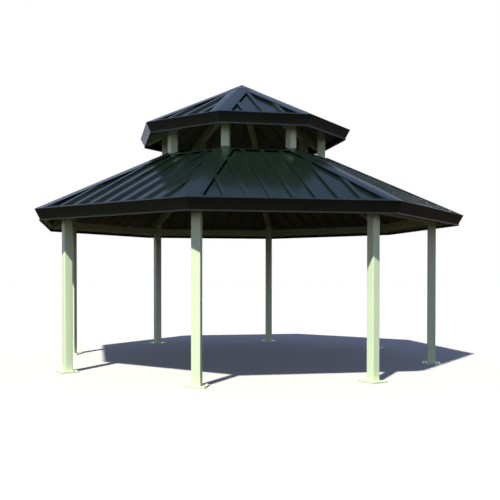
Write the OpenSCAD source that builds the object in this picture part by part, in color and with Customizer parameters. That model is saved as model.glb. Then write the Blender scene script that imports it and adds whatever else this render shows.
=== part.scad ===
// Eight-sided steel park shelter with a raised cupola roof. Millimetres, +Z up.
// The origin is on the ground at the centre of the ring of posts, and side 1 faces -Y.
// Posts, hip rafters and hip caps are numbered anticlockwise from the left end of side 1.

/* [Plan] */
// Diameter of the circle through the post centres
post_circle_d = 6400; // [5600:100:7200]
// Diameter of the circle through the corners of the main eave
eave_circle_d = 7400; // [6600:100:8200]
// Diameter of the circle through the centres of the cupola posts
cupola_post_circle_d = 2764; // [2600:2:2900]
// Diameter of the circle through the corners of the cupola eave
cupola_eave_circle_d = 3732; // [3400:2:3900]

/* [Heights] */
// Height of the rib tops at the main eave
eave_z = 2445; // [2300:5:2700]
// Height of the rib tops at the cupola eave
cupola_eave_z = 3929; // [3850:1:4100]
// Rise of both roofs for each unit of run
roof_pitch = 0.5; // [0.45:0.01:0.55]
// Distance from the main eave line in to the upper end of the main roof sheets, in plan
sheet_run = 1988; // [1900:1:2000]

/* [Posts] */
// Side of the square post tube
post_w = 127; // [100:1:150]
// Wall of the post tube
post_wall = 6; // [4:0.5:10]
// Side of the square base plate
base_w = 280; // [240:5:320]
// Thickness of the base plate
base_t = 20; // [12:1:25]
// Distance between neighbouring anchor holes
anchor_spacing = 210; // [190:5:220]
// Diameter of an anchor hole
anchor_d = 22; // [18:1:26]

/* [Frame] */
// Width of the rafter, ring and tie tubes
tube_w = 102; // [80:1:110]
// Depth of the rafter and ring tubes
rafter_h = 125; // [110:1:128]
// Depth of the tie beams between the posts
tie_h = 127; // [100:1:150]
// Underside of the tie beams
tie_z = 2326; // [2280:1:2350]
// Wall of the frame tubes
tube_wall = 5; // [3:0.5:8]
// Depth of a purlin, square to the slope
purlin_h = 100; // [80:5:120]
// Width of a purlin
purlin_w = 50; // [40:5:60]
// Wall of a purlin
purlin_wall = 3; // [2:0.5:4]
// Distance from the main eave line to the middle purlins, in plan
mid_purlin_run = 1020; // [900:10:1200]

/* [Roofing] */
// Distance between ribs
rib_pitch = 305; // [250:5:400]
// Height of a rib
rib_h = 32; // [25:1:38]
// Width of a rib at its foot
rib_foot = 76; // [60:1:90]
// Width of a rib at its top
rib_top = 56; // [20:1:60]
// Thickness of the roof sheet
sheet_t = 2; // [1.5:0.1:3]
// Sideways shift of the ribs on sides 2, 4 and 6
rib_shift = 96; // [0:1:150]
// Width of each wing of a hip cap, in plan
cap_wing = 165; // [120:5:180]
// Thickness of caps, flashings and fascias
trim_t = 3; // [2:0.5:4]
// Depth of the fascia web
fascia_h = 157; // [140:1:180]
// Width of the drip lip that is kicked out from the foot of the fascia web
drip_w = 28; // [10:1:40]
// Width of the fascia flange over the rib ends
flange_w = 50; // [40:5:60]
// Reach of the cap on the peak, from the centre to a corner
peak_cap_r = 270; // [220:5:320]

/* [Hidden] */
sides = 8;
turn = 360 / sides;
half = turn / 2;
c8 = cos(half);
s8 = sin(half);
t8 = tan(half);
slope = atan(roof_pitch);
hip_pitch = roof_pitch * c8;
hip_slope = atan(hip_pitch);
big = 9000;

post_r = post_circle_d / 2;
eave_r = eave_circle_d / 2;
cupola_post_r = cupola_post_circle_d / 2;
cupola_eave_r = cupola_eave_circle_d / 2;
eave_ap = eave_r * c8;
cupola_eave_ap = cupola_eave_r * c8;

// The two roofs, each as [eave apothem, eave height]
MAIN = [eave_ap, eave_z];
CUPOLA = [cupola_eave_ap, cupola_eave_z];

// Height of the hip line above a point at radius r
function hip_z(roof, r) = roof[1] + (roof[0] / c8 - r) * hip_pitch;
// Distance up the slope for a run in plan
function up_slope(run) = run / cos(slope);

// Fall of a roof side for each unit sideways from its hip, in the hip frame
wing_fall = roof_pitch * s8 * cos(hip_slope);
// Underside of the sheet between the ribs, square to the slope
sheet_low = -rib_h - sheet_t;
// Top of a hip rafter, square to the hip line, so that its edges just meet both sheets
rafter_top = sheet_low / cos(slope) * cos(hip_slope) - wing_fall * tube_w / 2;
rafter_low = rafter_top - rafter_h;

post_foot_t = 10;
post_foot_w = 180;
mitre_gap = 0.5;
sheet_gap = 12;
tail_gap = 65;
tail_r = eave_r - tail_gap;
cupola_tail_r = cupola_eave_r - tail_gap;
rafter_end_r = cupola_post_r - post_w / 2;
cap_gap = 8;
cap_end_r = cupola_post_r + post_foot_w / 2 + cap_gap;
tie_ap = post_r * c8 + post_w / 2 * s8;
ring_ap = cupola_post_r * c8 + post_w / 2 * s8;
ring_z = hip_z(MAIN, cupola_post_r) + rafter_low / cos(hip_slope);
top_purlin_gap = 90;
top_purlin_run = sheet_run - top_purlin_gap;
flashing_w = 75;

// The hub at the peak reaches from below the rafters to just under the sheets
hub_ap = 125;
hub_wall = 10;
hub_r = hub_ap / c8;
hub_drop = 30;
hub_room = 5;
hub_low = hip_z(CUPOLA, hub_ap) + rafter_low / cos(hip_slope) - hub_drop;
hub_top = cupola_eave_z + (cupola_eave_ap - hub_r) * roof_pitch + sheet_low / cos(slope) - hub_room;
peak_hole_r = 14;

function numbered(name) = [for (i = [1:sides]) str(name, "_", i)];

// ---- placing ----

// Turns a piece drawn for side 1 to side i
module on_side(i) rotate([0, 0, turn * (i - 1)]) children();

// Turns a piece drawn for a hip that runs out along -Y to hip i
module on_hip(i) rotate([0, 0, turn * (i - 1) - half]) children();

// Slope frame of side 1: x along the eave, y up the slope, z square to the sheet, 0 at the rib tops
module on_slope(roof) translate([0, -roof[0], roof[1]]) rotate([slope, 0, 0]) children();

// Hip frame at radius r: y up the hip, z square to the hip line
module on_hip_line(roof, r) translate([0, -r, hip_z(roof, r)]) rotate([hip_slope, 0, 0]) children();

// Plan of one side between its two hips, drawn back from each hip by gap
module side_wedge(gap) {
    linear_extrude(big)
        polygon([[0, -gap / s8], [big * t8 - gap / c8, -big], [gap / c8 - big * t8, -big]]);
}

// ---- shared shapes ----

// Rectangular tube along x, centred in x and y, standing on z = 0
module tube_x(l, w, h, wall) {
    difference() {
        translate([-l / 2, -w / 2, 0]) cube([l, w, h]);
        translate([-l, wall - w / 2, wall]) cube([2 * l, w - 2 * wall, h - 2 * wall]);
    }
}

// Square post tube from z0 to z1
module post_tube(z0, z1) {
    difference() {
        translate([-post_w / 2, -post_w / 2, z0]) cube([post_w, post_w, z1 - z0]);
        translate([post_wall - post_w / 2, post_wall - post_w / 2, z0 - 1])
            cube([post_w - 2 * post_wall, post_w - 2 * post_wall, z1 - z0 + 2]);
    }
}

// Everything above or below a level of the frame it is drawn in, for cutting posts to the rafters
module above(level) translate([-big / 2, -big / 2, level]) cube([big, big, big]);
module below(level) translate([0, 0, -big]) above(level);

// Purlin across side 1, with its top under the sheet and its lower edge at a distance up the slope
module purlin(roof, y) {
    intersection() {
        on_slope(roof)
            translate([0, y + purlin_w / 2, sheet_low - purlin_h])
                tube_x(big, purlin_w, purlin_h, purlin_wall);
        side_wedge(tube_w / 2);
    }
}

// Folded fascia across side 1: flange over the ribs, web square to the slope, lip kicked out at half a
// right angle
module folded_fascia(roof) {
    foot = trim_t - fascia_h;
    kick = drip_w / sqrt(2);
    skin = trim_t / sqrt(2);
    intersection() {
        on_slope(roof)
            translate([-big / 2, 0, 0])
                rotate([90, 0, 90])
                    linear_extrude(big)
                        polygon([[0, foot], [0, trim_t], [flange_w, trim_t], [flange_w, 0], [trim_t, 0],
                                 [trim_t, foot + trim_t - 2 * skin], [skin - kick, foot - kick - skin],
                                 [-kick, foot - kick]]);
        side_wedge(mitre_gap);
    }
}

// Section of the ribbed sheet, with a rib at shift and at each pitch beside it
module sheet_section(reach, shift) {
    n = floor(reach / rib_pitch);
    ribs = [for (k = [-n:n]) shift + k * rib_pitch];
    top = [for (x = ribs) each [
        [x - rib_foot / 2, -rib_h], [x - rib_top / 2, 0], [x + rib_top / 2, 0], [x + rib_foot / 2, -rib_h]]];
    edge = reach + rib_pitch;
    low = [for (k = [len(top) - 1:-1:0]) top[k] - [0, sheet_t]];
    polygon(concat([[-edge, -rib_h]], top, [[edge, -rib_h]], [[edge, sheet_low]], low, [[-edge, sheet_low]]));
}

// Ribbed sheet of side 1, from the fascia web up to a run in plan
module ribbed_sheet(roof, run, shift) {
    length = up_slope(run) - trim_t;
    intersection() {
        on_slope(roof)
            translate([0, trim_t + length, 0])
                rotate([90, 0, 0])
                    linear_extrude(length)
                        sheet_section(roof[0] * t8, shift);
        side_wedge(sheet_gap);
    }
}

// Folded hip cap along -Y, from the eave corner up to an inner radius, lying on the rib tops beside the hip.
// Towards the peak it also stops at the middles of the two sides.
module hip_cap(roof, inner_r) {
    outer_r = roof[0] / c8;
    low = trim_t / cos(slope) * cos(hip_slope);
    fall = cap_wing * wing_fall;
    length = outer_r / cos(hip_slope);
    intersection() {
        on_hip_line(roof, outer_r)
            translate([0, length, 0])
                rotate([90, 0, 0])
                    linear_extrude(length + cap_wing)
                        polygon([[-cap_wing, low - fall], [0, low], [cap_wing, low - fall],
                                 [cap_wing, 2 * low - fall], [0, 2 * low], [-cap_wing, 2 * low - fall]]);
        cylinder(r = outer_r, h = big, $fn = sides);
        translate([-big / 2, -big - inner_r, 0]) cube([big, big, big]);
        side_wedge(mitre_gap);
    }
}

// Hip rafter tube that runs out along -Y, from an outer radius in to an inner one, with a plumb inner end
module hip_tube(roof, outer_r, inner_r) {
    length = (outer_r - inner_r) / cos(hip_slope) + rafter_h;
    intersection() {
        on_hip_line(roof, outer_r)
            translate([0, length / 2, rafter_low])
                rotate([0, 0, 90])
                    tube_x(length, tube_w, rafter_h, tube_wall);
        translate([-big / 2, -big - inner_r, 0]) cube([big, big, big]);
    }
}

// ---- main frame ----

module post(i) {
    color("#cfd8bc")
        on_hip(i)
            translate([0, -post_r, 0]) {
                difference() {
                    translate([-base_w / 2, -base_w / 2, 0]) cube([base_w, base_w, base_t]);
                    for (x = [-1, 1], y = [-1, 1])
                        translate([x * anchor_spacing / 2, y * anchor_spacing / 2, -1])
                            cylinder(d = anchor_d, h = base_t + 2, $fn = 48);
                }
                difference() {
                    post_tube(base_t, hip_z(MAIN, post_r));
                    translate([0, post_r, 0]) on_hip_line(MAIN, post_r) above(rafter_low);
                }
            }
}

module tie_beam(i) {
    color("#c6cfb2")
        on_side(i)
            intersection() {
                translate([0, -tie_ap, tie_z]) tube_x(2 * post_r, tube_w, tie_h, tube_wall);
                side_wedge(post_w / 2);
            }
}

module hip_rafter(i) {
    color("#c9d2b6") on_hip(i) hip_tube(MAIN, tail_r, rafter_end_r);
}

module ring_beams() {
    color("#c6cfb2")
        for (i = [1:sides])
            on_side(i)
                intersection() {
                    translate([0, -ring_ap, ring_z]) tube_x(2 * post_r, tube_w, rafter_h, tube_wall);
                    side_wedge(tube_w / 2);
                }
}

// Three rings of purlins: behind the fascia, at mid slope and under the upper sheet ends
module purlins() {
    color("#b9c2a8")
        for (i = [1:sides], y = [trim_t, up_slope(mid_purlin_run), up_slope(top_purlin_run)])
            on_side(i) purlin(MAIN, y);
}

// ---- main roof ----

module roof_sheet(i) {
    color("#22362e") on_side(i) ribbed_sheet(MAIN, sheet_run, i % 2 == 0 && i < sides ? rib_shift : 0);
}

module fascia() {
    color("#1a201c")
        for (i = [1:sides])
            on_side(i) folded_fascia(MAIN);
}

// Angle that laps over the upper rib ends and closes them
module top_flashing() {
    y = up_slope(sheet_run);
    color("#22362e")
        for (i = [1:sides])
            on_side(i)
                intersection() {
                    on_slope(MAIN) {
                        translate([-big / 2, y - flashing_w, 0]) cube([big, flashing_w + trim_t, trim_t]);
                        translate([-big / 2, y, sheet_low]) cube([big, trim_t, trim_t - sheet_low]);
                    }
                    side_wedge(mitre_gap);
                }
}

module hip_caps() {
    color("#2b4036")
        for (i = [1:sides])
            on_hip(i) hip_cap(MAIN, cap_end_r);
}

// ---- cupola ----

// Post stubs on sloping foot plates, from the hip rafters up to the cupola rafters
module cupola_posts() {
    color("#cfd8bc")
        for (i = [1:sides])
            on_hip(i) {
                on_hip_line(MAIN, cupola_post_r)
                    translate([-post_foot_w / 2, -post_foot_w / 2, rafter_top])
                        cube([post_foot_w, post_foot_w, post_foot_t]);
                difference() {
                    translate([0, -cupola_post_r, 0])
                        post_tube(hip_z(MAIN, cupola_post_r) - post_w, hip_z(CUPOLA, cupola_post_r));
                    on_hip_line(MAIN, cupola_post_r) below(rafter_top + post_foot_t);
                    on_hip_line(CUPOLA, cupola_post_r) above(rafter_low);
                }
            }
}

module cupola_rafters() {
    color("#c9d2b6")
        for (i = [1:sides])
            on_hip(i) hip_tube(CUPOLA, cupola_tail_r, hub_ap);
}

// Eight-sided tube at the peak that the cupola rafters run into
module peak_hub() {
    h = hub_top - hub_low;
    color("#c6cfb2")
        translate([0, 0, hub_low])
            difference() {
                cylinder(r = hub_r, h = h, $fn = sides);
                translate([0, 0, -1]) cylinder(r = hub_r - hub_wall / c8, h = h + 2, $fn = sides);
            }
}

module cupola_sheets() {
    color("#22362e")
        for (i = [1:sides])
            on_side(i) ribbed_sheet(CUPOLA, cupola_eave_ap - 2 * sheet_gap, 0);
}

module cupola_fascia() {
    color("#1a201c")
        for (i = [1:sides])
            on_side(i) folded_fascia(CUPOLA);
}

module cupola_hip_caps() {
    color("#2b4036")
        for (i = [1:sides])
            on_hip(i) hip_cap(CUPOLA, peak_hole_r);
}

// Eight-sided cap over the upper ends of the eight hip caps
module peak_cap() {
    step = trim_t / cos(slope);
    rise = peak_cap_r * hip_pitch;
    color("#2b4036")
        translate([0, 0, hip_z(CUPOLA, peak_cap_r) + 2 * step])
            rotate([0, 0, half])
                difference() {
                    union() {
                        cylinder(r = peak_cap_r, h = step, $fn = sides);
                        translate([0, 0, step]) cylinder(r1 = peak_cap_r, r2 = 0, h = rise, $fn = sides);
                    }
                    translate([0, 0, -1])
                        cylinder(r1 = peak_cap_r + 1 / hip_pitch, r2 = 0, h = rise + 1, $fn = sides);
                }
}

// ---- nodes ----

for (i = [1:sides]) {
    post(i);
    tie_beam(i);
    hip_rafter(i);
    roof_sheet(i);
}
ring_beams();
purlins();
fascia();
top_flashing();
hip_caps();
cupola_posts();
cupola_rafters();
peak_hub();
cupola_sheets();
cupola_fascia();
cupola_hip_caps();
peak_cap();
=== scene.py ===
"""The looks of an eight-sided steel park shelter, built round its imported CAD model.

Metres, +Z up. Side 1 faces -Y. Sides, posts and hips are numbered anticlockwise from above,
and post 1 and hip 1 stand at the left end of side 1.
"""

import math
from collections import namedtuple

import bmesh
import bpy
from mathutils import Matrix, Vector


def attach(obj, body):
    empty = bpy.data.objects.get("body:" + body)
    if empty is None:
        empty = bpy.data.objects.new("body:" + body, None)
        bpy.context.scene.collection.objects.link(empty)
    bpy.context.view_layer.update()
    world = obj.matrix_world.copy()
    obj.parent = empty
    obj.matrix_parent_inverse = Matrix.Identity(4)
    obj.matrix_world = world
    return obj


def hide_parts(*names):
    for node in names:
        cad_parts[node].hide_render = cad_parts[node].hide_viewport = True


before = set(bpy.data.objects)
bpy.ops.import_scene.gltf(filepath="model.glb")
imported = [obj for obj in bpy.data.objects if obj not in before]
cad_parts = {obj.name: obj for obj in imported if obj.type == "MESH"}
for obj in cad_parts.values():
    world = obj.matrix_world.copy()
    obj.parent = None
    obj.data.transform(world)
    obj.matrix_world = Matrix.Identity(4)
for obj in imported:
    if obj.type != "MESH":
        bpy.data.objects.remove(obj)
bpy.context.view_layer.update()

# ---- sizes, as in the part's source ----

SIDES = 8
TURN = math.tau / SIDES
C8 = math.cos(TURN / 2)
S8 = math.sin(TURN / 2)
T8 = math.tan(TURN / 2)
PITCH = 0.5
SLOPE = math.atan(PITCH)
HIP_PITCH = PITCH * C8
HIP_SLOPE = math.atan(HIP_PITCH)
# how far a cap's wing falls for each metre aside from its hip
WING_FALL = PITCH * S8 * math.cos(HIP_SLOPE)
# numbers of the sides, posts and hips
EACH = range(1, SIDES + 1)

POST_R = 3.2
POST_W = 0.127
BASE_T = 0.02
ANCHOR_SPACING = 0.21
RAFTER_W = 0.102
CUPOLA_POST_R = 1.382
FOOT_W = 0.18
FOOT_T = 0.01

RIB_PITCH = 0.305
RIB_H = 0.032
RIB_FOOT = 0.076
RIB_TOP = 0.056
TRIM_T = 0.003
FLANGE_W = 0.05
CAP_WING = 0.165
PURLIN_W = 0.05
PAN_N = -RIB_H

# One roof: distance from the axis to its eave line, height of its rib tops there, run in plan of
# its sheets, sideways shift of the ribs on sides 2, 4 and 6, radius where its cap hems end, and
# the runs in plan of the rows of screws that hold its sheets
Roof = namedtuple("Roof", "apothem eave_z run shift hem_end_r screw_runs")
EAVE_R = 3.7
CUPOLA_EAVE_R = 1.866
CUPOLA_TOP_GAP = 0.024
MAIN = Roof(
    apothem=EAVE_R * C8,
    eave_z=2.445,
    run=1.988,
    shift=0.096,
    hem_end_r=1.48,
    screw_runs=(0.0, 1.02, 1.898),
)
CUPOLA = Roof(
    apothem=CUPOLA_EAVE_R * C8,
    eave_z=3.929,
    run=CUPOLA_EAVE_R * C8 - CUPOLA_TOP_GAP,
    shift=0.0,
    hem_end_r=CAP_WING / T8 + 0.01,
    screw_runs=(0.0, 0.75),
)


def side_turn(side):
    return Matrix.Rotation(TURN * (side - 1), 4, "Z")


def hip_turn(hip):
    return Matrix.Rotation(TURN * (hip - 1.5), 4, "Z")


def hip_z(roof, r):
    """Height of the hip line above a point at radius r."""
    return roof.eave_z + (roof.apothem / C8 - r) * HIP_PITCH


def slope_frame(roof, side):
    """x along the eave, y up the slope from the eave line, z square to both from the rib tops."""
    place = Matrix.Translation((0, -roof.apothem, roof.eave_z))
    return side_turn(side) @ place @ Matrix.Rotation(SLOPE, 4, "X")


def hip_frame(roof, hip, r):
    """y up the hip from radius r, z square to the hip line."""
    place = Matrix.Translation((0, -r, hip_z(roof, r)))
    return hip_turn(hip) @ place @ Matrix.Rotation(HIP_SLOPE, 4, "X")


def hip_reach(roof, x):
    """Distance up the slope at which the hip is met, at x from the middle of a roof side."""
    return (roof.apothem - abs(x) / T8) / math.cos(SLOPE)


def rib_shift(roof, side):
    """Every second side but the last has its ribs off the middle."""
    return roof.shift if side in (2, 4, 6) else 0.0


def rib_places(roof, side):
    """Where the ribs of a side stand along its eave."""
    half = roof.apothem * T8
    count = math.floor(half / RIB_PITCH) + 1
    ribs = [rib_shift(roof, side) + k * RIB_PITCH for k in range(-count, count + 1)]
    return [x for x in ribs if abs(x) < half - RIB_FOOT / 2]


# ---- node helpers ----


def add(tree, kind, **settings):
    made = tree.nodes.new(kind)
    for name, value in settings.items():
        setattr(made, name, value)
    return made


def feed(tree, socket, value):
    """Links another socket in, or sets a plain value."""
    if isinstance(value, bpy.types.NodeSocket):
        tree.links.new(value, socket)
    else:
        socket.default_value = value


def maths(tree, operation, *values):
    made = add(tree, "ShaderNodeMath", operation=operation)
    for socket, value in zip(made.inputs, values):
        feed(tree, socket, value)
    return made.outputs[0]


def map_range(tree, value, low, high, to_low, to_high, form="LINEAR"):
    made = add(tree, "ShaderNodeMapRange", interpolation_type=form, clamp=True)
    names = ("Value", "From Min", "From Max", "To Min", "To Max")
    for name, given in zip(names, (value, low, high, to_low, to_high)):
        feed(tree, made.inputs[name], given)
    return made.outputs["Result"]


def noise(tree, vector, scale, detail=3.0, roughness=0.5):
    made = add(tree, "ShaderNodeTexNoise")
    feed(tree, made.inputs["Vector"], vector)
    feed(tree, made.inputs["Scale"], scale)
    feed(tree, made.inputs["Detail"], detail)
    feed(tree, made.inputs["Roughness"], roughness)
    return made.outputs["Fac"]


def stretched(tree, vector, scale):
    made = add(tree, "ShaderNodeMapping")
    feed(tree, made.inputs["Vector"], vector)
    made.inputs["Scale"].default_value = scale
    return made.outputs["Vector"]


def blend(tree, share, below, above):
    """Colour mix from below to above."""
    made = add(tree, "ShaderNodeMix", data_type="RGBA")
    feed(tree, made.inputs["Factor"], share)
    feed(tree, made.inputs["A"], below)
    feed(tree, made.inputs["B"], above)
    return made.outputs["Result"]


def new_tree(name, kind, inputs, outputs):
    """Node group with its sockets and the two nodes that hold them."""
    tree = bpy.data.node_groups.new(name, kind)
    for in_out, sockets in (("INPUT", inputs), ("OUTPUT", outputs)):
        for socket_name, kind_of_value in sockets:
            socket_type = "NodeSocket" + kind_of_value
            tree.interface.new_socket(socket_name, in_out=in_out, socket_type=socket_type)
    return tree, add(tree, "NodeGroupInput").outputs, add(tree, "NodeGroupOutput").inputs


# ---- shared paint effects ----


def make_weather():
    """Marks of weather on paint. Rain marks run down along the vector's Y."""
    tree, given, out = new_tree(
        "weather",
        "ShaderNodeTree",
        [("Vector", "Vector"), ("Rain Scale", "Float"), ("Peel Scale", "Float")],
        [("Mottle", "Float"), ("Rain", "Float"), ("Dust", "Float"), ("Peel", "Float")],
    )
    vector = given["Vector"]
    feed(tree, out["Mottle"], noise(tree, vector, 1.7, 4.0, 0.55))
    runs = noise(tree, stretched(tree, vector, (1.0, 0.05, 1.0)), given["Rain Scale"], 4.0, 0.6)
    feed(tree, out["Rain"], map_range(tree, runs, 0.5, 0.78, 0.0, 1.0, "SMOOTHSTEP"))
    specks = noise(tree, vector, 90.0, 5.0, 0.65)
    feed(tree, out["Dust"], map_range(tree, specks, 0.48, 0.8, 0.0, 1.0, "SMOOTHSTEP"))
    feed(tree, out["Peel"], noise(tree, vector, given["Peel Scale"], 2.0, 0.5))
    return tree


def make_ground_splash():
    """Share of dried splash on a surface, full at the ground and gone at Top."""
    tree, given, out = new_tree(
        "ground_splash",
        "ShaderNodeTree",
        [("Vector", "Vector"), ("Top", "Float")],
        [("Splash", "Float")],
    )
    height = add(tree, "ShaderNodeSeparateXYZ")
    feed(tree, height.inputs[0], given["Vector"])
    fade = map_range(tree, height.outputs["Z"], 0.0, given["Top"], 1.0, 0.0, "SMOOTHSTEP")
    spots = map_range(tree, noise(tree, given["Vector"], 38.0, 6.0, 0.7), 0.42, 0.7, 0.0, 1.0)
    feed(tree, out["Splash"], maths(tree, "MULTIPLY", fade, spots))
    return tree


WEATHER = make_weather()
GROUND_SPLASH = make_ground_splash()


def group(tree, shared, **values):
    """Places a shared group, with underscores in the names of its inputs as spaces."""
    made = add(tree, "ShaderNodeGroup", node_tree=shared)
    for name, value in values.items():
        feed(tree, made.inputs[name.replace("_", " ")], value)
    return made.outputs


def new_material(name):
    made = bpy.data.materials.new(name)
    made.use_nodes = True
    return made, made.node_tree, made.node_tree.nodes["Principled BSDF"]


def bump(tree, shader, height, strength, distance):
    made = add(tree, "ShaderNodeBump")
    feed(tree, made.inputs["Height"], height)
    made.inputs["Strength"].default_value = strength
    made.inputs["Distance"].default_value = distance
    feed(tree, shader.inputs["Normal"], made.outputs["Normal"])


# ---- materials ----

SPLASH_TOP = 0.22


def toned(colour, share):
    """The colour made lighter or darker, as a socket takes it."""
    return (*[min(1.0, c * share) for c in colour], 1)


def stained(tree, base, mask, strength, stain):
    """The base colour with a stain over it where the mask is."""
    return blend(tree, maths(tree, "MULTIPLY", mask, strength), base, (*stain, 1))


def powder_coat(name, colour, dirt):
    """Semi-gloss powder coat with orange peel, fine dust and dried splash near the ground.

    Faces that look up, such as the tops of the base plates, are washed smoother by the rain.
    """
    made, tree, shader = new_material(name)
    place = add(tree, "ShaderNodeTexCoord").outputs["Object"]
    weather = group(tree, WEATHER, Vector=place, Peel_Scale=520.0)
    splash = group(tree, GROUND_SPLASH, Vector=place, Top=SPLASH_TOP)["Splash"]
    base = blend(tree, weather["Mottle"], toned(colour, 0.93), toned(colour, 1.05))
    base = stained(tree, base, weather["Dust"], 0.06, dirt)
    base = stained(tree, base, splash, 0.2, dirt)
    feed(tree, shader.inputs["Base Color"], base)
    rough = map_range(tree, weather["Mottle"], 0.25, 0.75, 0.36, 0.46)
    rough = maths(tree, "ADD", rough, maths(tree, "MULTIPLY", splash, 0.2))
    facing = add(tree, "ShaderNodeSeparateXYZ")
    feed(tree, facing.inputs[0], add(tree, "ShaderNodeNewGeometry").outputs["True Normal"])
    kept_rough = map_range(tree, facing.outputs["Z"], 0.7, 0.95, 1.0, 0.2)
    feed(tree, shader.inputs["Roughness"], maths(tree, "MULTIPLY", rough, kept_rough))
    bump(tree, shader, weather["Peel"], 0.25, 0.0006)
    return made


def coil_coat(name, colour, rain_colour, gloss, along_sheet):
    """Factory paint on roofing steel: dark, glossy, slightly wavy, with faint rain marks.

    The rain marks run down the slope of the sheets. On trim they follow the row's Y.
    """
    made, tree, shader = new_material(name)
    if along_sheet:
        place = add(tree, "ShaderNodeUVMap", uv_map="sheet_uv").outputs["UV"]
    else:
        place = add(tree, "ShaderNodeTexCoord").outputs["Object"]
    weather = group(tree, WEATHER, Vector=place, Rain_Scale=26.0, Peel_Scale=420.0)
    base = blend(tree, weather["Mottle"], toned(colour, 0.88), toned(colour, 1.15))
    base = stained(tree, base, weather["Rain"], 0.16, rain_colour)
    base = stained(tree, base, weather["Dust"], 0.06, rain_colour)
    feed(tree, shader.inputs["Base Color"], base)
    rough = map_range(tree, weather["Mottle"], 0.25, 0.75, gloss - 0.015, gloss + 0.025)
    rough = maths(tree, "ADD", rough, maths(tree, "MULTIPLY", weather["Rain"], 0.02))
    feed(tree, shader.inputs["Roughness"], rough)
    waves = noise(tree, place, 3.2, 2.0, 0.4)
    height = maths(tree, "ADD", waves, maths(tree, "MULTIPLY", weather["Peel"], 0.004))
    bump(tree, shader, height, 0.2, 0.006)
    return made


def backer_coat(name, colour, dirt):
    """Thin wash coat on the back of the sheets, dull and a little uneven."""
    made, tree, shader = new_material(name)
    place = add(tree, "ShaderNodeUVMap", uv_map="sheet_uv").outputs["UV"]
    weather = group(tree, WEATHER, Vector=place, Peel_Scale=300.0)
    base = blend(tree, weather["Mottle"], toned(colour, 0.85), toned(colour, 1.12))
    base = stained(tree, base, weather["Dust"], 0.2, dirt)
    feed(tree, shader.inputs["Base Color"], base)
    feed(tree, shader.inputs["Roughness"], map_range(tree, weather["Mottle"], 0.2, 0.8, 0.5, 0.65))
    bump(tree, shader, weather["Peel"], 0.15, 0.0005)
    return made


def foam(name):
    """Closed-cell foam under the caps."""
    made, tree, shader = new_material(name)
    cells = noise(tree, add(tree, "ShaderNodeTexCoord").outputs["Object"], 300.0, 3.0, 0.6)
    black = blend(tree, cells, (0.006, 0.006, 0.006, 1), (0.014, 0.014, 0.014, 1))
    feed(tree, shader.inputs["Base Color"], black)
    shader.inputs["Roughness"].default_value = 0.9
    bump(tree, shader, cells, 0.4, 0.001)
    return made


SAGE = (0.62, 0.755, 0.49)
DIRT = (0.20, 0.17, 0.12)
ROOF_GREEN = (0.0052, 0.0108, 0.0082)
RAIN_GREY = (0.035, 0.045, 0.043)
FASCIA_GREEN = (0.0074, 0.0101, 0.0070)
FASCIA_RAIN = (0.03, 0.03, 0.026)
# The frame under the roof gets the posts' sage made a little darker: a painted shade for the shade
# it stands in.
FRAME_PAINTED_SHADE = 0.94
BACKER_GREY = (0.19, 0.21, 0.15)
BACKER_DIRT = (0.11, 0.09, 0.07)

post_paint = powder_coat("post_paint", SAGE, DIRT)
# Tie beams, rafters, ring beams, purlins and hub share this darker sage, painted shade under the
# roof.
frame_paint = powder_coat("frame_paint", [c * FRAME_PAINTED_SHADE for c in SAGE], DIRT)
roof_paint = coil_coat("roof_paint", ROOF_GREEN, RAIN_GREY, 0.145, True)
trim_paint = coil_coat("trim_paint", ROOF_GREEN, RAIN_GREY, 0.16, False)
fascia_paint = coil_coat("fascia_paint", FASCIA_GREEN, FASCIA_RAIN, 0.34, False)
sheet_back = backer_coat("sheet_back", BACKER_GREY, BACKER_DIRT)
closure_foam = foam("closure_foam")

# ---- geometry tree helpers ----


def realized(tree, geometry):
    made = add(tree, "GeometryNodeRealizeInstances")
    feed(tree, made.inputs["Geometry"], geometry)
    return made.outputs["Geometry"]


def painted(tree, geometry, paint):
    made = add(tree, "GeometryNodeSetMaterial")
    feed(tree, made.inputs["Geometry"], geometry)
    feed(tree, made.inputs["Material"], paint)
    return made.outputs["Geometry"]


# ---- mesh helpers ----

MERGE_GAP = 1e-5
FLAT_ANGLE = math.radians(0.4)


def finish_mesh(mesh, sharp):
    """Smooth shading, broken at edges that turn by more than the sharp angle in degrees."""
    for face in mesh.polygons:
        face.use_smooth = True
    mesh.set_sharp_from_angle(angle=math.radians(sharp))


def new_piece(name, mesh, replaced=(), sharp=35.0):
    """Object at the origin that rides on the shelter and stands for the CAD nodes named."""
    finish_mesh(mesh, sharp)
    made = bpy.data.objects.new(name, mesh)
    bpy.context.scene.collection.objects.link(made)
    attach(made, "root")
    if replaced:
        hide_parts(*replaced)
    return made


def merged_copy(node):
    """The CAD node's solids as one clean mesh with whole flat faces."""
    shape = bmesh.new()
    shape.from_mesh(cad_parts[node].data)
    bmesh.ops.remove_doubles(shape, verts=shape.verts, dist=MERGE_GAP)
    bmesh.ops.dissolve_limit(
        shape,
        angle_limit=FLAT_ANGLE,
        verts=shape.verts,
        edges=shape.edges,
        use_dissolve_boundaries=False,
    )
    shape.normal_update()
    return shape


def long_corner(edge, shortest, angle):
    """True for an outward corner at least that long and that sharp."""
    if len(edge.link_faces) != 2 or edge.calc_length() < shortest:
        return False
    return edge.calc_face_angle_signed(0.0) > math.radians(angle)


def round_corners(shape, shortest, radius, segments, angle):
    bmesh.ops.bevel(
        shape,
        geom=[edge for edge in shape.edges if long_corner(edge, shortest, angle)],
        offset=radius,
        segments=segments,
        profile=0.5,
        affect="EDGES",
        clamp_overlap=True,
    )


def weighted(made):
    """Keeps big flat faces flat beside their rounded corners."""
    modifier = made.modifiers.new("flat_faces", "WEIGHTED_NORMAL")
    modifier.keep_sharp = True
    return made


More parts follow.
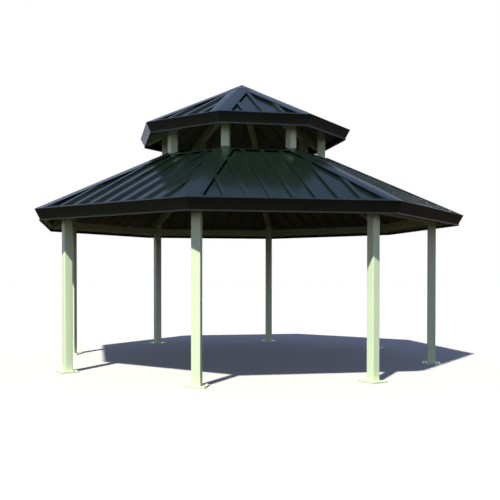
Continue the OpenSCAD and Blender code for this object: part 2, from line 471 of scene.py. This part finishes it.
def rounded_node(node, name, paint, shortest, radius, segments=3, angle=50.0):
    """A CAD node with its outer corners rounded as the real tube or folded plate has them.

    Edges under the shortest length stay as they are.
    """
    shape = merged_copy(node)
    round_corners(shape, shortest, radius, segments, angle)
    mesh = bpy.data.meshes.new(name)
    shape.to_mesh(mesh)
    shape.free()
    mesh.materials.clear()
    mesh.materials.append(paint)
    return weighted(new_piece(name, mesh, [node]))


def apply_tree(name, base_mesh, tree, values):
    """The plain mesh that a geometry tree makes of a mesh, with its inputs set by name."""
    holder = bpy.data.objects.new(name, base_mesh)
    bpy.context.scene.collection.objects.link(holder)
    modifier = holder.modifiers.new(tree.name, "NODES")
    modifier.node_group = tree
    for item in tree.interface.items_tree:
        if item.in_out == "INPUT" and item.name in values:
            modifier[item.identifier] = values[item.name]
    holder.update_tag()
    evaluated = holder.evaluated_get(bpy.context.evaluated_depsgraph_get())
    result = bpy.data.meshes.new_from_object(evaluated)
    bpy.data.objects.remove(holder)
    result.name = name
    return result


def join_meshes(name, meshes):
    """One mesh from several, with the first one's materials."""
    shape = bmesh.new()
    for mesh in meshes:
        shape.from_mesh(mesh)
    joined = meshes[0].copy()
    joined.name = name
    shape.to_mesh(joined)
    shape.free()
    return joined


# ---- ribbed roof sheets ----

# The sheets start this far up from the eave line, and stop this far short of the hips
SHEET_START = 0.0035
HIP_GAP = 0.012
SHEET_T = 0.002
SHEET_SHARP = 25.0
BEND_R = 0.001
BEND_STEPS = 3
# Grid columns in half a pitch, and the one at which the first bend starts
HALF_COLUMNS = 30
FIRST_BEND = 3
COLUMN_STEP = RIB_PITCH / 2 / HALF_COLUMNS


def rib_profile():
    """Half a pitch of the sheet, from the middle of a rib to the middle of a pan.

    Each corner has its grid column, its distance from the rib's middle and its level.
    """
    angle = math.atan2(RIB_H, (RIB_FOOT - RIB_TOP) / 2)
    back = BEND_R * math.tan(angle / 2)
    turns = [angle * k / BEND_STEPS for k in range(BEND_STEPS + 1)]
    bend = [(BEND_R * math.sin(t) - back, BEND_R * (1 - math.cos(t))) for t in turns]
    top = [(RIB_TOP / 2 + out, -down) for out, down in bend]
    foot = [(RIB_FOOT / 2 - out, down - RIB_H) for out, down in reversed(bend)]
    bends = [(FIRST_BEND + k, *corner) for k, corner in enumerate(top + foot)]
    return [(0, 0.0, 0.0), *bends, (HALF_COLUMNS, RIB_PITCH / 2, -RIB_H)]


def follow_profile(tree, column, axis):
    """Distance (axis 1) or level (axis 2) of the profile at a column."""
    total = 0.0
    corners = rib_profile()
    for start, end in zip(corners, corners[1:]):
        step = map_range(tree, column, start[0], end[0], 0.0, end[axis] - start[axis])
        total = maths(tree, "ADD", total, step)
    return total


def make_ribbed_sheet_tree():
    """Roof sheet in its slope frame: ribs up the slope, cut to the two hips.

    Columns stand closer together in the bends, so that pans and rib sides stay flat.
    """
    tree, given, out = new_tree(
        "ribbed_sheet",
        "GeometryNodeTree",
        [
            ("Width", "Float"),
            ("Columns", "Int"),
            ("Apothem", "Float"),
            ("Length", "Float"),
            ("Shift", "Float"),
            ("Thickness", "Float"),
            ("Top Paint", "Material"),
            ("Back Paint", "Material"),
        ],
        [("Mesh", "Geometry")],
    )
    grid = add(tree, "GeometryNodeMeshGrid")
    feed(tree, grid.inputs["Size X"], given["Width"])
    feed(tree, grid.inputs["Size Y"], 1.0)
    feed(tree, grid.inputs["Vertices X"], given["Columns"])
    feed(tree, grid.inputs["Vertices Y"], 2)
    place = add(tree, "ShaderNodeSeparateXYZ")
    feed(tree, place.inputs[0], add(tree, "GeometryNodeInputPosition").outputs[0])
    even = place.outputs["X"]

    rib = maths(tree, "ROUND", maths(tree, "DIVIDE", even, RIB_PITCH))
    rib = maths(tree, "MULTIPLY", rib, RIB_PITCH)
    from_rib = maths(tree, "SUBTRACT", even, rib)
    column = maths(tree, "DIVIDE", maths(tree, "ABSOLUTE", from_rib), COLUMN_STEP)
    beside = maths(tree, "MULTIPLY", maths(tree, "SIGN", from_rib), follow_profile(tree, column, 1))
    x = maths(tree, "ADD", maths(tree, "ADD", rib, beside), given["Shift"])
    level = maths(tree, "SUBTRACT", follow_profile(tree, column, 2), given["Thickness"])

    aside = maths(tree, "ADD", maths(tree, "ABSOLUTE", x), HIP_GAP / C8)
    run = maths(tree, "SUBTRACT", given["Apothem"], maths(tree, "DIVIDE", aside, T8))
    run = maths(tree, "ADD", run, maths(tree, "MULTIPLY", level, math.sin(SLOPE)))
    reach = maths(tree, "MINIMUM", maths(tree, "DIVIDE", run, math.cos(SLOPE)), given["Length"])
    share = maths(tree, "ADD", place.outputs["Y"], 0.5)
    up = maths(tree, "MULTIPLY", share, maths(tree, "SUBTRACT", reach, SHEET_START))
    up = maths(tree, "ADD", up, SHEET_START)

    spare = add(tree, "GeometryNodeDeleteGeometry", domain="POINT")
    feed(tree, spare.inputs["Geometry"], grid.outputs["Mesh"])
    feed(tree, spare.inputs["Selection"], maths(tree, "LESS_THAN", reach, 2 * SHEET_START))
    where = add(tree, "ShaderNodeCombineXYZ")
    for socket, value in zip(where.inputs, (x, up, level)):
        feed(tree, socket, value)
    shaped = add(tree, "GeometryNodeSetPosition")
    feed(tree, shaped.inputs["Geometry"], spare.outputs["Geometry"])
    feed(tree, shaped.inputs["Position"], where.outputs[0])
    back = shaped.outputs["Geometry"]

    top = add(tree, "GeometryNodeExtrudeMesh", mode="FACES")
    feed(tree, top.inputs["Mesh"], back)
    feed(tree, top.inputs["Offset Scale"], given["Thickness"])
    top.inputs["Individual"].default_value = False
    flipped = add(tree, "GeometryNodeFlipFaces")
    feed(tree, flipped.inputs["Mesh"], back)
    both = add(tree, "GeometryNodeJoinGeometry")
    feed(tree, both.inputs[0], painted(tree, flipped.outputs["Mesh"], given["Back Paint"]))
    feed(tree, both.inputs[0], painted(tree, top.outputs["Mesh"], given["Top Paint"]))
    whole = add(tree, "GeometryNodeMergeByDistance")
    feed(tree, whole.inputs["Geometry"], both.outputs[0])
    feed(tree, whole.inputs["Distance"], MERGE_GAP)

    mapped = add(tree, "GeometryNodeStoreNamedAttribute", data_type="FLOAT2", domain="CORNER")
    feed(tree, mapped.inputs["Geometry"], whole.outputs["Geometry"])
    mapped.inputs["Name"].default_value = "sheet_uv"
    feed(tree, mapped.inputs["Value"], add(tree, "GeometryNodeInputPosition").outputs[0])
    feed(tree, out["Mesh"], realized(tree, mapped.outputs["Geometry"]))
    return tree


RIBBED_SHEET = make_ribbed_sheet_tree()


def sheet_mesh(roof, side):
    """The sheets of one side as a mesh in place."""
    half = math.ceil((roof.apothem * T8 + rib_shift(roof, side)) / COLUMN_STEP)
    mesh = apply_tree(
        f"sheet_{side}",
        bpy.data.meshes.new("sheet_base"),
        RIBBED_SHEET,
        {
            "Width": 2 * half * COLUMN_STEP,
            "Columns": 2 * half + 1,
            "Apothem": roof.apothem,
            "Length": roof.run / math.cos(SLOPE),
            "Shift": rib_shift(roof, side),
            "Thickness": SHEET_T,
            "Top Paint": roof_paint,
            "Back Paint": sheet_back,
        },
    )
    mesh.transform(slope_frame(roof, side))
    return mesh


def sheet_piece(name, mesh, node):
    weighted(new_piece(name, mesh, [node], SHEET_SHARP))


def make_roof_sheets():
    for side in EACH:
        sheet_piece(f"ribbed_sheet_{side}", sheet_mesh(MAIN, side), f"roof_sheet_{side}")
    cupola = join_meshes("cupola_ribbed_sheets", [sheet_mesh(CUPOLA, side) for side in EACH])
    sheet_piece("cupola_ribbed_sheets", cupola, "cupola_sheets")


# ---- screws, bolts and weld beads ----

# share of a head's height that is chamfered, and of a radius left at its top
CHAMFER = 0.18
HEAD_TOP = 0.86
WASHER_TOP = 0.94


def make_fastener_tree():
    """A washer, a chamfered six-sided head and a stud end on every point, turned to its facing."""
    tree, given, out = new_tree(
        "fasteners",
        "GeometryNodeTree",
        [
            ("Points", "Geometry"),
            ("Head Radius", "Float"),
            ("Head Height", "Float"),
            ("Washer Radius", "Float"),
            ("Washer Height", "Float"),
            ("Stud Radius", "Float"),
            ("Stud Height", "Float"),
            ("Paint", "Material"),
        ],
        [("Mesh", "Geometry")],
    )

    def lathe(sides, foot_radius, top_radius, height, level):
        """A many-sided drum or cone that stands on a level."""
        cone = add(tree, "GeometryNodeMeshCone", fill_type="NGON")
        feed(tree, cone.inputs["Vertices"], sides)
        feed(tree, cone.inputs["Radius Bottom"], foot_radius)
        feed(tree, cone.inputs["Radius Top"], top_radius)
        feed(tree, cone.inputs["Depth"], height)
        lift = add(tree, "ShaderNodeCombineXYZ")
        feed(tree, lift.inputs["Z"], level)
        moved = add(tree, "GeometryNodeTransform")
        feed(tree, moved.inputs["Geometry"], cone.outputs["Mesh"])
        feed(tree, moved.inputs["Translation"], lift.outputs[0])
        return moved.outputs["Geometry"]

    head_level = given["Washer Height"]
    body = maths(tree, "MULTIPLY", given["Head Height"], 1 - CHAMFER)
    cap = maths(tree, "MULTIPLY", given["Head Height"], CHAMFER)
    cap_level = maths(tree, "ADD", head_level, body)
    cap_radius = maths(tree, "MULTIPLY", given["Head Radius"], HEAD_TOP)
    rim = maths(tree, "MULTIPLY", given["Washer Radius"], WASHER_TOP)
    solids = [
        lathe(20, given["Washer Radius"], rim, given["Washer Height"], 0.0),
        lathe(6, given["Head Radius"], given["Head Radius"], body, head_level),
        lathe(6, given["Head Radius"], cap_radius, cap, cap_level),
        lathe(12, given["Stud Radius"], given["Stud Radius"], given["Stud Height"], head_level),
    ]
    one = add(tree, "GeometryNodeJoinGeometry")
    for solid in solids:
        feed(tree, one.inputs[0], solid)

    facing = add(tree, "GeometryNodeInputNamedAttribute", data_type="FLOAT_VECTOR")
    facing.inputs["Name"].default_value = "facing"
    turned = add(tree, "FunctionNodeAlignRotationToVector", axis="Z")
    feed(tree, turned.inputs["Vector"], facing.outputs["Attribute"])
    spin = add(tree, "FunctionNodeRandomValue", data_type="FLOAT")
    spin.inputs[2].default_value = 0.0
    spin.inputs[3].default_value = math.tau
    spin.inputs["Seed"].default_value = 4
    about = add(tree, "FunctionNodeAxisAngleToRotation")
    about.inputs["Axis"].default_value = (0, 0, 1)
    feed(tree, about.inputs["Angle"], spin.outputs[1])
    both = add(tree, "FunctionNodeRotateRotation", rotation_space="LOCAL")
    feed(tree, both.inputs["Rotation"], turned.outputs["Rotation"])
    feed(tree, both.inputs["Rotate By"], about.outputs["Rotation"])

    placed = add(tree, "GeometryNodeInstanceOnPoints")
    feed(tree, placed.inputs["Points"], given["Points"])
    feed(tree, placed.inputs["Instance"], one.outputs[0])
    feed(tree, placed.inputs["Rotation"], both.outputs["Rotation"])
    fasteners = realized(tree, placed.outputs["Instances"])
    feed(tree, out["Mesh"], painted(tree, fasteners, given["Paint"]))
    return tree


FASTENERS = make_fastener_tree()


def place_fasteners(name, places, paint, sizes):
    """places are pairs of a point and the way its fastener faces."""
    points = bpy.data.meshes.new(name + "_points")
    points.from_pydata([list(point) for point, _ in places], [], [])
    facing = points.attributes.new("facing", "FLOAT_VECTOR", "POINT")
    facing.data.foreach_set("vector", [c for _, way in places for c in way])
    new_piece(name, apply_tree(name, points, FASTENERS, {**sizes, "Paint": paint}))


ROOF_SCREW = {
    "Head Radius": 0.0048,
    "Head Height": 0.0045,
    "Washer Radius": 0.0075,
    "Washer Height": 0.0018,
    "Stud Radius": 0.0,
    "Stud Height": 0.0,
}
ANCHOR_BOLT = {
    "Head Radius": 0.0165,
    "Head Height": 0.008,
    "Washer Radius": 0.021,
    "Washer Height": 0.003,
    "Stud Radius": 0.0,
    "Stud Height": 0.0,
}
FOOT_BOLT = {
    "Head Radius": 0.0108,
    "Head Height": 0.0085,
    "Washer Radius": 0.014,
    "Washer Height": 0.0025,
    "Stud Radius": 0.006,
    "Stud Height": 0.012,
}


def on_frame(matrix, x, y, n):
    """A place in a slope or hip frame as a point in the row's frame, with that frame's up."""
    return matrix @ Vector((x, y, n)), (matrix.to_3x3() @ Vector((0, 0, 1))).normalized()


# What screws keep: from a rib's middle, in from a cap's edge, up the fascia's flange, and clear
# of that flange, of an eave corner, of a cap's upper end and of the peak
SCREW_FROM_RIB = 0.052
CAP_SCREW_IN = 0.022
FLANGE_SCREW_UP = 0.6 * FLANGE_W
FROM_FLANGE = 0.03
FROM_CORNER = 0.03
FROM_CAP_END = 0.04
FROM_PEAK = 0.25


def pan_screws(roof, rib):
    """Pairs beside a rib in each row, but one in the second row up, clear of the caps."""
    for number, run in enumerate(roof.screw_runs):
        y = run / math.cos(SLOPE) + PURLIN_W / 2 + (FROM_FLANGE if run == 0 else 0.0)
        room = (roof.apothem - y * math.cos(SLOPE)) * T8 - CAP_WING / C8
        for way in (1,) if number == 1 else (-1, 1):
            x = rib + way * SCREW_FROM_RIB
            if abs(x) < room:
                yield x, y, PAN_N


def trim_screws(roof, rib):
    """One where a cap's wing crosses the rib, and one through the fascia's flange."""
    length = roof.run / math.cos(SLOPE)
    y = hip_reach(roof, abs(rib) + (CAP_WING - CAP_SCREW_IN) / C8)
    clear_of_peak = roof is MAIN or y < length - FROM_PEAK
    if clear_of_peak and FLANGE_W + FROM_FLANGE < y < length - FROM_CAP_END:
        yield rib, y, 2 * TRIM_T
    if abs(rib) + CAP_WING / C8 < roof.apothem * T8 - FROM_CORNER:
        yield rib, FLANGE_SCREW_UP, TRIM_T


def roof_screw_places(roof):
    """Screws through the pans, and through caps and flanges into the ribs."""
    places = []
    for side in EACH:
        matrix = slope_frame(roof, side)
        for rib in rib_places(roof, side):
            for spot in (*pan_screws(roof, rib), *trim_screws(roof, rib)):
                places.append(on_frame(matrix, *spot))
    return places


FLASHING_SCREW_DOWN = 0.045
FROM_FLASHING_END = 0.12


def flashing_screw_places():
    """Screws through the top flashing into the upper ends of the ribs."""
    y = MAIN.run / math.cos(SLOPE) - FLASHING_SCREW_DOWN
    half = (MAIN.apothem - MAIN.run) * T8 - FROM_FLASHING_END
    return [
        on_frame(slope_frame(MAIN, side), rib, y, TRIM_T)
        for side in EACH
        for rib in rib_places(MAIN, side)
        if abs(rib) < half
    ]


def pattern(x, y):
    """The four corners of a bolt pattern, x and y from its middle."""
    return [(way_x * x, way_y * y) for way_x in (-1, 1) for way_y in (-1, 1)]


def anchor_places():
    corners = pattern(ANCHOR_SPACING / 2, ANCHOR_SPACING / 2)
    return [on_frame(hip_turn(hip), x, y - POST_R, BASE_T) for hip in EACH for x, y in corners]


# Top of the main hip rafters in a hip frame: under the sheets, at the edges of the tube
UNDER_SHEETS = -(RIB_H + SHEET_T) / math.cos(SLOPE) * math.cos(HIP_SLOPE)
RAFTER_TOP = UNDER_SHEETS - WING_FALL * RAFTER_W / 2
PLATE_TOP = RAFTER_TOP + FOOT_T
FOOT_BOLT_X = 0.035
FOOT_BOLT_Y = 0.075


def foot_bolt_places():
    """Two bolts downhill and two uphill of each cupola post, on its foot plate."""
    frames = [hip_frame(MAIN, hip, CUPOLA_POST_R) for hip in EACH]
    spots = pattern(FOOT_BOLT_X, FOOT_BOLT_Y)
    return [on_frame(matrix, x, y, PLATE_TOP) for matrix in frames for x, y in spots]


# turn of the ripple from one ring of a bead to the next, in radians
RIPPLE_TURN = 1.9


def make_bead_tree():
    """A round bead that follows the mesh's edges, rippled as a weld or smooth as a hem."""
    tree, given, out = new_tree(
        "follow_edges",
        "GeometryNodeTree",
        [
            ("Edges", "Geometry"),
            ("Radius", "Float"),
            ("Step", "Float"),
            ("Ripple", "Float"),
            ("Paint", "Material"),
        ],
        [("Mesh", "Geometry")],
    )
    line = add(tree, "GeometryNodeMeshToCurve")
    feed(tree, line.inputs["Mesh"], given["Edges"])
    steps = add(tree, "GeometryNodeResampleCurve", mode="LENGTH")
    feed(tree, steps.inputs["Curve"], line.outputs["Curve"])
    feed(tree, steps.inputs["Length"], given["Step"])
    ring_number = add(tree, "GeometryNodeInputIndex").outputs[0]
    wave = maths(tree, "SINE", maths(tree, "MULTIPLY", ring_number, RIPPLE_TURN))
    swell = maths(tree, "ADD", 1.0, maths(tree, "MULTIPLY", wave, given["Ripple"]))
    sized = add(tree, "GeometryNodeSetCurveRadius")
    feed(tree, sized.inputs["Curve"], steps.outputs["Curve"])
    feed(tree, sized.inputs["Radius"], swell)
    ring = add(tree, "GeometryNodeCurvePrimitiveCircle", mode="RADIUS")
    ring.inputs["Resolution"].default_value = 8
    feed(tree, ring.inputs["Radius"], given["Radius"])
    skin = add(tree, "GeometryNodeCurveToMesh")
    feed(tree, skin.inputs["Curve"], sized.outputs["Curve"])
    feed(tree, skin.inputs["Profile Curve"], ring.outputs["Curve"])
    skin.inputs["Fill Caps"].default_value = True
    feed(tree, out["Mesh"], painted(tree, realized(tree, skin.outputs["Mesh"]), given["Paint"]))
    return tree


FOLLOW_EDGES = make_bead_tree()
BEAD_SHARP = 60.0


def bead_piece(name, paths, closed, paint, radius, step, ripple):
    """Beads along several lists of points."""
    points, edges = [], []
    for path in paths:
        first = len(points)
        points += [list(point) for point in path]
        edges += [(first + k, first + k + 1) for k in range(len(path) - 1)]
        if closed:
            edges.append((len(points) - 1, first))
    lines = bpy.data.meshes.new(name + "_lines")
    lines.from_pydata(points, edges, [])
    values = {"Radius": radius, "Step": step, "Ripple": ripple, "Paint": paint}
    new_piece(name, apply_tree(name, lines, FOLLOW_EDGES, values), (), BEAD_SHARP)


CORNER_R = 0.012
CORNER_POINTS = 5


def rounded_square(width, radius):
    """Points round a square tube with round corners, centred on the origin."""
    half = width / 2 - radius
    points = []
    for quarter, (sx, sy) in enumerate(((1, 1), (-1, 1), (-1, -1), (1, -1))):
        for k in range(CORNER_POINTS):
            angle = math.pi / 2 * (quarter + k / (CORNER_POINTS - 1))
            x = sx * half + radius * math.cos(angle)
            y = sy * half + radius * math.sin(angle)
            points.append((x, y))
    return points


WELD_R = 0.0045
WELD_LIFT = WELD_R / 3
WELD_STEP = 0.0035
WELD_RIPPLE = 0.16


def weld_piece(name, paths):
    bead_piece(name, paths, True, post_paint, WELD_R, WELD_STEP, WELD_RIPPLE)


def make_welds():
    """Fillet welds round the feet of all posts, sunk a little into their plates."""
    square = rounded_square(POST_W + WELD_R, CORNER_R)
    posts = [
        [hip_turn(hip) @ Vector((x, y - POST_R, BASE_T + WELD_LIFT)) for x, y in square]
        for hip in EACH
    ]
    weld_piece("post_foot_welds", posts)
    # a plumb tube meets its sloping foot plate, so the bead is longer up the slope
    stretch = 1 / math.cos(HIP_SLOPE)
    drift = PLATE_TOP * math.tan(HIP_SLOPE)
    ring = [Vector((x, y * stretch + drift, PLATE_TOP + WELD_LIFT)) for x, y in square]
    frames = [hip_frame(MAIN, hip, CUPOLA_POST_R) for hip in EACH]
    weld_piece("cupola_post_welds", [[matrix @ point for point in ring] for matrix in frames])


HEM_R = 0.0016
HEM_STEP = 0.5
HEM_SHORT = 0.004


def make_cap_hems():
    """Rolled hems along both edges of every hip cap, a little short of its ends."""
    paths = []
    level = TRIM_T / math.cos(SLOPE) * math.cos(HIP_SLOPE) - CAP_WING * WING_FALL + HEM_R
    start = (CAP_WING * T8 + HEM_SHORT) / math.cos(HIP_SLOPE)
    for roof in (MAIN, CUPOLA):
        outer_r = roof.apothem / C8
        end = (outer_r - roof.hem_end_r) / math.cos(HIP_SLOPE) - HEM_SHORT
        for hip in EACH:
            matrix = hip_frame(roof, hip, outer_r)
            for x in (HEM_R - CAP_WING, CAP_WING - HEM_R):
                paths.append([matrix @ Vector((x, y, level)) for y in (start, end)])
    bead_piece("cap_hems", paths, False, trim_paint, HEM_R, HEM_STEP, 0.0)


# Where the foam stands under a wing, from the hip, and how far it stops short of the sheets' top
CLOSURE_OUT = 0.135
CLOSURE_IN = 0.110
CLOSURE_SHORT = 0.08


def closure_profile(roof, side, way):
    """Distances from the middle of a side, with the level of the ribbed sheet at each."""
    edge = CLOSURE_OUT / C8
    low = max(0.0, (roof.apothem - roof.run + CLOSURE_SHORT) * T8 - edge)
    high = (roof.apothem - FLANGE_W) * T8 - edge
    corners = []
    for rib in rib_places(roof, side):
        for width, level in ((RIB_FOOT, PAN_N), (RIB_TOP, 0.0)):
            corners += [(way * rib - width / 2, level), (way * rib + width / 2, level)]
    corners = sorted(corner for corner in corners if low < corner[0] < high)
    return [(low, corners[0][1]), *corners, (high, corners[-1][1])]


def closure_strip(shape, roof, side, way):
    """Foam that fills the pans under one wing of a hip cap."""
    matrix = slope_frame(roof, side)
    rings = []
    for x, level in closure_profile(roof, side, way):
        outer = hip_reach(roof, x + CLOSURE_OUT / C8)
        inner = hip_reach(roof, x + CLOSURE_IN / C8)
        section = ((outer, level), (outer, TRIM_T), (inner, TRIM_T), (inner, level))
        rings.append([shape.verts.new(matrix @ Vector((way * x, y, n))) for y, n in section])
    for one, other in zip(rings, rings[1:]):
        for k in range(4):
            shape.faces.new((one[k], one[(k + 1) % 4], other[(k + 1) % 4], other[k]))
    shape.faces.new(rings[0])
    shape.faces.new(rings[-1])


def make_cap_closures():
    """One piece of foam for the caps of both roofs."""
    shape = bmesh.new()
    for roof in (MAIN, CUPOLA):
        for side in EACH:
            for way in (-1, 1):
                closure_strip(shape, roof, side, way)
    bmesh.ops.recalc_face_normals(shape, faces=shape.faces)
    mesh = bpy.data.meshes.new("cap_closures")
    shape.to_mesh(mesh)
    shape.free()
    mesh.materials.append(closure_foam)
    new_piece("cap_closures", mesh)


# ---- pieces ----

# Outer radius at the corners of tubes and purlins and at folds in sheet metal
TUBE_R = 0.01
PURLIN_R = 0.004
FOLD_R = 0.0012
JUST_OVER = 0.001


def darken_foot_plates_as_shade(mesh):
    """The foot plates of the cupola posts are painted in the roof's dark colour, not the posts'
    sage: painted shade, so they are lost against the roof in the shade there.
    """
    mesh.materials.append(trim_paint)
    to_plates = [hip_frame(MAIN, hip, CUPOLA_POST_R).inverted() for hip in EACH]
    for face in mesh.polygons:
        place = min((m @ face.center for m in to_plates), key=lambda spot: spot.xy.length)
        if abs(place.x) < FOOT_W and place.z < PLATE_TOP + JUST_OVER:
            face.material_index = 1


def post_tube(node, name, shortest):
    return rounded_node(node, name, post_paint, shortest, CORNER_R, 4)


def frame_tube(node, name, shortest=0.5):
    return rounded_node(node, name, frame_paint, shortest, TUBE_R)


def make_frame_pieces():
    for i in EACH:
        post_tube(f"post_{i}", f"square_post_{i}", 0.5)
        frame_tube(f"tie_beam_{i}", f"tie_tube_{i}")
        frame_tube(f"hip_rafter_{i}", f"hip_rafter_tube_{i}")
    frame_tube("ring_beams", "ring_tubes", 0.4)
    rounded_node("purlins", "roof_purlins", frame_paint, 0.3, PURLIN_R, 2)
    stubs = post_tube("cupola_posts", "cupola_post_stubs", 0.25)
    # The foot plates take the roof's dark colour as painted shade.
    darken_foot_plates_as_shade(stubs.data)
    frame_tube("cupola_rafters", "cupola_rafter_tubes")
    rounded_node("peak_hub", "peak_hub_ring", frame_paint, 0.08, 0.002, 2)


def folded_fascia(node, name):
    rounded_node(node, name, fascia_paint, 0.5, FOLD_R, 2, 40.0)


def folded_trim(node, name, shortest=0.3, radius=FOLD_R):
    rounded_node(node, name, trim_paint, shortest, radius, 2)


def make_trim_pieces():
    folded_fascia("fascia", "folded_fascias")
    folded_fascia("cupola_fascia", "cupola_folded_fascias")
    folded_trim("top_flashing", "upper_flashing")
    folded_trim("hip_caps", "hip_cap_folds")
    folded_trim("cupola_hip_caps", "cupola_cap_folds")
    folded_trim("peak_cap", "peak_cap_fold", 0.15, 0.001)


def make_fasteners():
    place_fasteners("anchor_bolts", anchor_places(), post_paint, ANCHOR_BOLT)
    # The foot bolts are in the roof's dark colour too: painted shade at the feet of the cupola
    # posts.
    place_fasteners("cupola_foot_bolts", foot_bolt_places(), trim_paint, FOOT_BOLT)
    screws = roof_screw_places(MAIN) + flashing_screw_places()
    place_fasteners("roof_screws", screws, trim_paint, ROOF_SCREW)
    screws = roof_screw_places(CUPOLA)
    place_fasteners("cupola_roof_screws", screws, trim_paint, ROOF_SCREW)


make_roof_sheets()
make_frame_pieces()
make_trim_pieces()
make_fasteners()
make_welds()
make_cap_hems()
make_cap_closures()

# ---- floor, light and camera ----

FLOOR_REACH = 90.0
FLOOR_Z = -0.0005
FLOOR_SEEN = (0.535, 0.525, 0.525, 1)
FLOOR_THROWN = (0.026, 0.0182, 0.0118, 1)
SUN_AZIMUTH = math.radians(234)
SUN_HEIGHT = math.radians(54.5)
SUN_ANGLE = math.radians(2.0)
SUN_STRENGTH = 6.82
SUN_COLOUR = (1.0, 0.979, 0.877)
HORIZON = (0.86, 0.83, 1.0, 1)
LOW_SKY = (0.57, 0.635, 0.85, 1)
HIGH_SKY = (0.13, 0.185, 0.344, 1)
TREE_SHADE = (0.04, 0.055, 0.058, 1)


def make_floor():
    """Pale floor. What it throws back on the shelter is held low, as on open ground in shade."""
    mesh = bpy.data.meshes.new("floor")
    corners = [(-1, -1), (1, -1), (1, 1), (-1, 1)]
    points = [(x * FLOOR_REACH, y * FLOOR_REACH, FLOOR_Z) for x, y in corners]
    mesh.from_pydata(points, [], [(0, 1, 2, 3)])
    made, tree, shader = new_material("floor_grey")
    tree.nodes.remove(shader)
    seen = add(tree, "ShaderNodeBsdfDiffuse")
    seen.inputs["Color"].default_value = FLOOR_SEEN
    thrown = add(tree, "ShaderNodeBsdfDiffuse")
    thrown.inputs["Color"].default_value = FLOOR_THROWN
    both = add(tree, "ShaderNodeMixShader")
    feed(tree, both.inputs[0], add(tree, "ShaderNodeLightPath").outputs["Is Camera Ray"])
    tree.links.new(thrown.outputs[0], both.inputs[1])
    tree.links.new(seen.outputs[0], both.inputs[2])
    tree.links.new(both.outputs[0], tree.nodes["Material Output"].inputs["Surface"])
    mesh.materials.append(made)
    floor = bpy.data.objects.new("floor", mesh)
    bpy.context.scene.collection.objects.link(floor)


def make_world():
    """White studio backdrop, and a bluish dome that lights the shelter and shows in its gloss.

    The dome is dark low down at the back on the right, as if trees stood there. A bright gap is
    left between the crowns of the trees and a dimmer strip along the ground. Its Z is the sine of
    the height above the horizon.
    """
    world = bpy.data.worlds.new("studio")
    bpy.context.scene.world = world
    world.use_nodes = True
    tree = world.node_tree
    tree.nodes.clear()
    way = add(tree, "ShaderNodeSeparateXYZ")
    feed(tree, way.inputs[0], add(tree, "ShaderNodeTexCoord").outputs["Generated"])
    x, y, z = way.outputs
    low = map_range(tree, z, 0.0, 0.25, 0.0, 1.0)
    high = map_range(tree, z, 0.25, 0.6, 0.0, 1.0)
    sky = blend(tree, high, blend(tree, low, HORIZON, LOW_SKY), HIGH_SKY)
    behind = map_range(tree, y, 0.0, 0.4, 0.0, 1.0)
    below_tops = map_range(tree, z, 0.2, 0.4, 1.0, 0.0)
    crowns = map_range(tree, z, 0.14, 0.18, 0.0, 1.0)
    near_ground = map_range(tree, z, 0.05, 0.09, 0.7, 0.0)
    dark = maths(tree, "MULTIPLY", below_tops, maths(tree, "MAXIMUM", crowns, near_ground))
    to_right = map_range(tree, x, -0.05, 0.15, 0.0, 1.0)
    trees = maths(tree, "MULTIPLY", maths(tree, "MULTIPLY", behind, dark), to_right)
    dome = add(tree, "ShaderNodeBackground")
    feed(tree, dome.inputs["Color"], blend(tree, trees, sky, TREE_SHADE))
    dome.inputs["Strength"].default_value = 1.0
    backdrop = add(tree, "ShaderNodeBackground")
    backdrop.inputs["Color"].default_value = (1, 1, 1, 1)
    backdrop.inputs["Strength"].default_value = 1.0
    both = add(tree, "ShaderNodeMixShader")
    feed(tree, both.inputs[0], add(tree, "ShaderNodeLightPath").outputs["Is Camera Ray"])
    tree.links.new(dome.outputs[0], both.inputs[1])
    tree.links.new(backdrop.outputs[0], both.inputs[2])
    tree.links.new(both.outputs[0], add(tree, "ShaderNodeOutputWorld").inputs["Surface"])


def make_key_light():
    """Warm sun from the front left."""
    light = bpy.data.lights.new("key", "SUN")
    light.energy = SUN_STRENGTH
    light.angle = SUN_ANGLE
    light.color = SUN_COLOUR
    key = bpy.data.objects.new("key", light)
    towards = Vector(
        (
            math.cos(SUN_AZIMUTH) * math.cos(SUN_HEIGHT),
            math.sin(SUN_AZIMUTH) * math.cos(SUN_HEIGHT),
            math.sin(SUN_HEIGHT),
        )
    )
    key.rotation_euler = towards.to_track_quat("Z", "Y").to_euler()
    bpy.context.scene.collection.objects.link(key)


def make_camera():
    """Eye-level view from the front, a little to the left."""
    data = bpy.data.cameras.new("camera")
    data.lens = 50.548
    data.sensor_width = 36
    data.shift_x = 0.0635
    data.shift_y = 0.0652
    camera = bpy.data.objects.new("camera", data)
    camera.location = (-2.5343, -12.0904, 1.4839)
    camera.rotation_euler = (math.radians(89.318), 0, math.radians(-9.915))
    bpy.context.scene.collection.objects.link(camera)
    bpy.context.scene.camera = camera


make_floor()
make_world()
make_key_light()
make_camera()
bpy.context.scene.view_settings.view_transform = "Standard"
